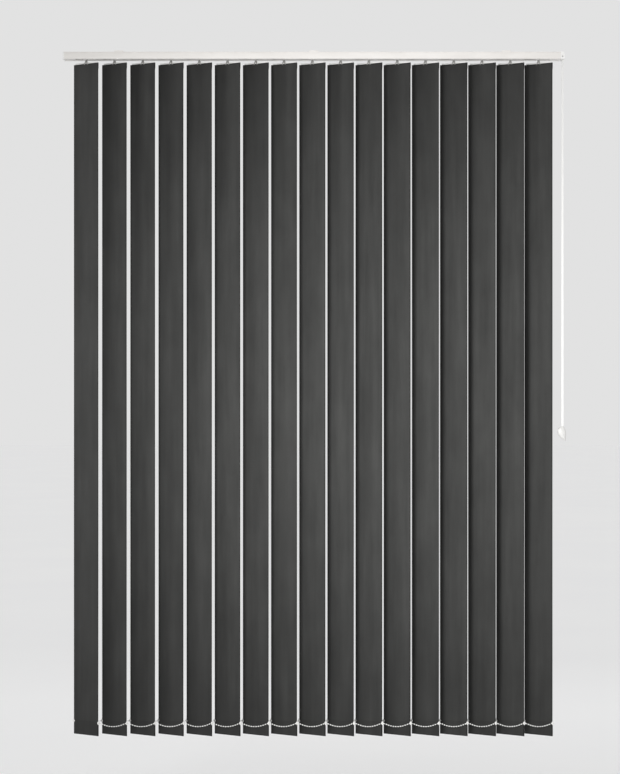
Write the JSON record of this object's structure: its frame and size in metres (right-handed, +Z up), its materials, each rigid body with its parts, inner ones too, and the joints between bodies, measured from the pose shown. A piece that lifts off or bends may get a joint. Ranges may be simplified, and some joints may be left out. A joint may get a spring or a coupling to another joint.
{
  "type": "vertical blind",
  "caption": "Vertical blind: slim white headrail with charcoal fabric louvres, cord loop with leaf-shaped weight and beaded bottom chains, with louvres that tilt and draw aside.",
  "frame": {"origin": "centre of the mounting plane, at the top of the middle ceiling bracket's plate", "axes": "+X along the headrail to the control end, +Y away from the room towards the window, +Z up"},
  "size_m": [1.3846, 0.0603, 1.885],
  "materials": {
    "painted_aluminium": "satin white powder coat",
    "bracket_steel": "white coated spring steel",
    "white_plastic": "moulded, half gloss",
    "steel": "bright",
    "pulley_plastic": "acetal, smooth",
    "rod_aluminium": "mill finish",
    "white_cord": "braided polyester",
    "bead_chain": "moulded white beads",
    "truck_plastic": "acetal, translucent grey white",
    "charcoal_fabric": "matt woven polyester, mottled charcoal"
  },
  "bodies": {
    "rail": {"headrail_top": "painted_aluminium", "headrail_front": "painted_aluminium", "headrail_back": "painted_aluminium", "headrail_front_flange": "painted_aluminium", "headrail_back_flange": "painted_aluminium", "bracket_left": "bracket_steel", "bracket_centre": "bracket_steel", "bracket_right": "bracket_steel", "control_end_cap": "white_plastic", "control_end_cover": "white_plastic", "idle_end_cap": "white_plastic", "cover_screws": "steel", "pulley_axles": "steel", "traverse_cord_in_rail": "white_cord", "traverse_cord_loop": "white_cord", "cord_weight_front": "white_plastic", "cord_weight_back": "white_plastic", "weight_pulley_axle": "steel", "truck_17": "truck_plastic"},
    "carrier_01": {"truck_01": "truck_plastic"},
    "carrier_02": {"truck_02": "truck_plastic"},
    "carrier_03": {"truck_03": "truck_plastic"},
    "carrier_04": {"truck_04": "truck_plastic"},
    "carrier_05": {"truck_05": "truck_plastic"},
    "carrier_06": {"truck_06": "truck_plastic"},
    "carrier_07": {"truck_07": "truck_plastic"},
    "carrier_08": {"truck_08": "truck_plastic"},
    "carrier_09": {"truck_09": "truck_plastic"},
    "carrier_10": {"truck_10": "truck_plastic"},
    "carrier_11": {"truck_11": "truck_plastic"},
    "carrier_12": {"truck_12": "truck_plastic"},
    "carrier_13": {"truck_13": "truck_plastic"},
    "carrier_14": {"truck_14": "truck_plastic"},
    "carrier_15": {"truck_15": "truck_plastic"},
    "carrier_16": {"truck_16": "truck_plastic"},
    "vane_01": {"louvre_01": "charcoal_fabric"},
    "vane_02": {"louvre_02": "charcoal_fabric"},
    "vane_03": {"louvre_03": "charcoal_fabric"},
    "vane_04": {"louvre_04": "charcoal_fabric"},
    "vane_05": {"louvre_05": "charcoal_fabric"},
    "vane_06": {"louvre_06": "charcoal_fabric"},
    "vane_07": {"louvre_07": "charcoal_fabric"},
    "vane_08": {"louvre_08": "charcoal_fabric"},
    "vane_09": {"louvre_09": "charcoal_fabric"},
    "vane_10": {"louvre_10": "charcoal_fabric"},
    "vane_11": {"louvre_11": "charcoal_fabric"},
    "vane_12": {"louvre_12": "charcoal_fabric"},
    "vane_13": {"louvre_13": "charcoal_fabric"},
    "vane_14": {"louvre_14": "charcoal_fabric"},
    "vane_15": {"louvre_15": "charcoal_fabric"},
    "vane_16": {"louvre_16": "charcoal_fabric"},
    "vane_17": {"louvre_17": "charcoal_fabric"},
    "tilt_shaft": {"tilt_rod": "rod_aluminium", "chain_wheel": "pulley_plastic"},
    "upper_cord_pulley_wheel": {"upper_cord_pulley": "pulley_plastic"},
    "lower_cord_pulley_wheel": {"lower_cord_pulley": "pulley_plastic"},
    "return_pulley_wheel": {"return_pulley": "pulley_plastic"},
    "weight_pulley_wheel": {"weight_pulley": "pulley_plastic"},
    "front_chain": {"bottom_chain_front": "bead_chain"},
    "rear_chain": {"bottom_chain_rear": "bead_chain"}
  },
  "joints": [
    {"name": "traverse", "type": "slide", "parent": "rail", "child": "carrier_01", "axis": [1, 0, 0], "range_m": [0, 0.992], "deforming": ["bottom_chain_front", "bottom_chain_rear"]},
    {"name": "carrier_slide_02", "type": "slide", "parent": "rail", "child": "carrier_02", "axis": [1, 0, 0], "range_m": [0, 0.93]},
    {"name": "carrier_slide_03", "type": "slide", "parent": "rail", "child": "carrier_03", "axis": [1, 0, 0], "range_m": [0, 0.868]},
    {"name": "carrier_slide_04", "type": "slide", "parent": "rail", "child": "carrier_04", "axis": [1, 0, 0], "range_m": [0, 0.806]},
    {"name": "carrier_slide_05", "type": "slide", "parent": "rail", "child": "carrier_05", "axis": [1, 0, 0], "range_m": [0, 0.744]},
    {"name": "carrier_slide_06", "type": "slide", "parent": "rail", "child": "carrier_06", "axis": [1, 0, 0], "range_m": [0, 0.682]},
    {"name": "carrier_slide_07", "type": "slide", "parent": "rail", "child": "carrier_07", "axis": [1, 0, 0], "range_m": [0, 0.62]},
    {"name": "carrier_slide_08", "type": "slide", "parent": "rail", "child": "carrier_08", "axis": [1, 0, 0], "range_m": [0, 0.558]},
    {"name": "carrier_slide_09", "type": "slide", "parent": "rail", "child": "carrier_09", "axis": [1, 0, 0], "range_m": [0, 0.496]},
    {"name": "carrier_slide_10", "type": "slide", "parent": "rail", "child": "carrier_10", "axis": [1, 0, 0], "range_m": [0, 0.434]},
    {"name": "carrier_slide_11", "type": "slide", "parent": "rail", "child": "carrier_11", "axis": [1, 0, 0], "range_m": [0, 0.372]},
    {"name": "carrier_slide_12", "type": "slide", "parent": "rail", "child": "carrier_12", "axis": [1, 0, 0], "range_m": [0, 0.31]},
    {"name": "carrier_slide_13", "type": "slide", "parent": "rail", "child": "carrier_13", "axis": [1, 0, 0], "range_m": [0, 0.248]},
    {"name": "carrier_slide_14", "type": "slide", "parent": "rail", "child": "carrier_14", "axis": [1, 0, 0], "range_m": [0, 0.186]},
    {"name": "carrier_slide_15", "type": "slide", "parent": "rail", "child": "carrier_15", "axis": [1, 0, 0], "range_m": [0, 0.124]},
    {"name": "carrier_slide_16", "type": "slide", "parent": "rail", "child": "carrier_16", "axis": [1, 0, 0], "range_m": [0, 0.062]},
    {"name": "tilt", "type": "hinge", "parent": "carrier_01", "child": "vane_01", "pos_m": [-0.6275, 0, -0.03], "axis": [0, 0, 1], "range_deg": [-132, 24]},
    {"name": "vane_turn_02", "type": "hinge", "parent": "carrier_02", "child": "vane_02", "pos_m": [-0.5495, 0, -0.03], "axis": [0, 0, 1], "range_deg": [-132, 24]},
    {"name": "vane_turn_03", "type": "hinge", "parent": "carrier_03", "child": "vane_03", "pos_m": [-0.4715, 0, -0.03], "axis": [0, 0, 1], "range_deg": [-132, 24]},
    {"name": "vane_turn_04", "type": "hinge", "parent": "carrier_04", "child": "vane_04", "pos_m": [-0.3935, 0, -0.03], "axis": [0, 0, 1], "range_deg": [-132, 24]},
    {"name": "vane_turn_05", "type": "hinge", "parent": "carrier_05", "child": "vane_05", "pos_m": [-0.3155, 0, -0.03], "axis": [0, 0, 1], "range_deg": [-132, 24]},
    {"name": "vane_turn_06", "type": "hinge", "parent": "carrier_06", "child": "vane_06", "pos_m": [-0.2375, 0, -0.03], "axis": [0, 0, 1], "range_deg": [-132, 24]},
    {"name": "vane_turn_07", "type": "hinge", "parent": "carrier_07", "child": "vane_07", "pos_m": [-0.1595, 0, -0.03], "axis": [0, 0, 1], "range_deg": [-132, 24]},
    {"name": "vane_turn_08", "type": "hinge", "parent": "carrier_08", "child": "vane_08", "pos_m": [-0.0815, 0, -0.03], "axis": [0, 0, 1], "range_deg": [-132, 24]},
    {"name": "vane_turn_09", "type": "hinge", "parent": "carrier_09", "child": "vane_09", "pos_m": [-0.0035, 0, -0.03], "axis": [0, 0, 1], "range_deg": [-132, 24]},
    {"name": "vane_turn_10", "type": "hinge", "parent": "carrier_10", "child": "vane_10", "pos_m": [0.0745, 0, -0.03], "axis": [0, 0, 1], "range_deg": [-132, 24]},
    {"name": "vane_turn_11", "type": "hinge", "parent": "carrier_11", "child": "vane_11", "pos_m": [0.1525, 0, -0.03], "axis": [0, 0, 1], "range_deg": [-132, 24]},
    {"name": "vane_turn_12", "type": "hinge", "parent": "carrier_12", "child": "vane_12", "pos_m": [0.2305, 0, -0.03], "axis": [0, 0, 1], "range_deg": [-132, 24]},
    {"name": "vane_turn_13", "type": "hinge", "parent": "carrier_13", "child": "vane_13", "pos_m": [0.3085, 0, -0.03], "axis": [0, 0, 1], "range_deg": [-132, 24]},
    {"name": "vane_turn_14", "type": "hinge", "parent": "carrier_14", "child": "vane_14", "pos_m": [0.3865, 0, -0.03], "axis": [0, 0, 1], "range_deg": [-132, 24]},
    {"name": "vane_turn_15", "type": "hinge", "parent": "carrier_15", "child": "vane_15", "pos_m": [0.4645, 0, -0.03], "axis": [0, 0, 1], "range_deg": [-132, 24]},
    {"name": "vane_turn_16", "type": "hinge", "parent": "carrier_16", "child": "vane_16", "pos_m": [0.5425, 0, -0.03], "axis": [0, 0, 1], "range_deg": [-132, 24]},
    {"name": "vane_turn_17", "type": "hinge", "parent": "rail", "child": "vane_17", "pos_m": [0.6205, 0, -0.03], "axis": [0, 0, 1], "range_deg": [-132, 24]},
    {"name": "tilt_rod_spin", "type": "hinge", "parent": "rail", "child": "tilt_shaft", "pos_m": [0, 0.01, -0.014], "axis": [1, 0, 0], "range_deg": [-1584, 288]},
    {"name": "upper_cord_pulley_spin", "type": "hinge", "parent": "rail", "child": "upper_cord_pulley_wheel", "pos_m": [0.6831, -0.014, -0.0092], "axis": [0, 1, 0], "continuous": true},
    {"name": "lower_cord_pulley_spin", "type": "hinge", "parent": "rail", "child": "lower_cord_pulley_wheel", "pos_m": [0.6805, -0.014, -0.0171], "axis": [0, 1, 0], "continuous": true},
    {"name": "return_pulley_spin", "type": "hinge", "parent": "rail", "child": "return_pulley_wheel", "pos_m": [-0.672, -0.014, -0.00995], "axis": [0, 1, 0], "continuous": true},
    {"name": "weight_pulley_spin", "type": "hinge", "parent": "rail", "child": "weight_pulley_wheel", "pos_m": [0.685, -0.014, -1.0475], "axis": [0, 1, 0], "continuous": true},
    {"name": "front_chain_follow", "type": "hinge", "parent": "vane_17", "child": "front_chain", "pos_m": [0.65848, -0.02735, -1.849], "axis": [0, 0, 1], "range_deg": [-24, 132]},
    {"name": "rear_chain_follow", "type": "hinge", "parent": "vane_17", "child": "rear_chain", "pos_m": [0.58276, 0.02767, -1.849], "axis": [0, 0, 1], "range_deg": [-24, 132]}
  ],
  "couplings": [
    {"joint": "carrier_slide_02", "follows": "traverse", "ratio": 0.9375},
    {"joint": "carrier_slide_03", "follows": "traverse", "ratio": 0.875},
    {"joint": "carrier_slide_04", "follows": "traverse", "ratio": 0.8125},
    {"joint": "carrier_slide_05", "follows": "traverse", "ratio": 0.75},
    {"joint": "carrier_slide_06", "follows": "traverse", "ratio": 0.6875},
    {"joint": "carrier_slide_07", "follows": "traverse", "ratio": 0.625},
    {"joint": "carrier_slide_08", "follows": "traverse", "ratio": 0.5625},
    {"joint": "carrier_slide_09", "follows": "traverse", "ratio": 0.5},
    {"joint": "carrier_slide_10", "follows": "traverse", "ratio": 0.4375},
    {"joint": "carrier_slide_11", "follows": "traverse", "ratio": 0.375},
    {"joint": "carrier_slide_12", "follows": "traverse", "ratio": 0.3125},
    {"joint": "carrier_slide_13", "follows": "traverse", "ratio": 0.25},
    {"joint": "carrier_slide_14", "follows": "traverse", "ratio": 0.1875},
    {"joint": "carrier_slide_15", "follows": "traverse", "ratio": 0.125},
    {"joint": "carrier_slide_16", "follows": "traverse", "ratio": 0.0625},
    {"joint": "vane_turn_02", "follows": "tilt", "ratio": 1},
    {"joint": "vane_turn_03", "follows": "tilt", "ratio": 1},
    {"joint": "vane_turn_04", "follows": "tilt", "ratio": 1},
    {"joint": "vane_turn_05", "follows": "tilt", "ratio": 1},
    {"joint": "vane_turn_06", "follows": "tilt", "ratio": 1},
    {"joint": "vane_turn_07", "follows": "tilt", "ratio": 1},
    {"joint": "vane_turn_08", "follows": "tilt", "ratio": 1},
    {"joint": "vane_turn_09", "follows": "tilt", "ratio": 1},
    {"joint": "vane_turn_10", "follows": "tilt", "ratio": 1},
    {"joint": "vane_turn_11", "follows": "tilt", "ratio": 1},
    {"joint": "vane_turn_12", "follows": "tilt", "ratio": 1},
    {"joint": "vane_turn_13", "follows": "tilt", "ratio": 1},
    {"joint": "vane_turn_14", "follows": "tilt", "ratio": 1},
    {"joint": "vane_turn_15", "follows": "tilt", "ratio": 1},
    {"joint": "vane_turn_16", "follows": "tilt", "ratio": 1},
    {"joint": "vane_turn_17", "follows": "tilt", "ratio": 1},
    {"joint": "tilt_rod_spin", "follows": "tilt", "ratio": 12},
    {"joint": "upper_cord_pulley_spin", "follows": "traverse", "rad_per_m": 294.12},
    {"joint": "lower_cord_pulley_spin", "follows": "traverse", "rad_per_m": -333.33},
    {"joint": "return_pulley_spin", "follows": "traverse", "rad_per_m": 240.96},
    {"joint": "weight_pulley_spin", "follows": "traverse", "rad_per_m": 250},
    {"joint": "front_chain_follow", "follows": "tilt", "ratio": -1},
    {"joint": "rear_chain_follow", "follows": "tilt", "ratio": -1}
  ]
}
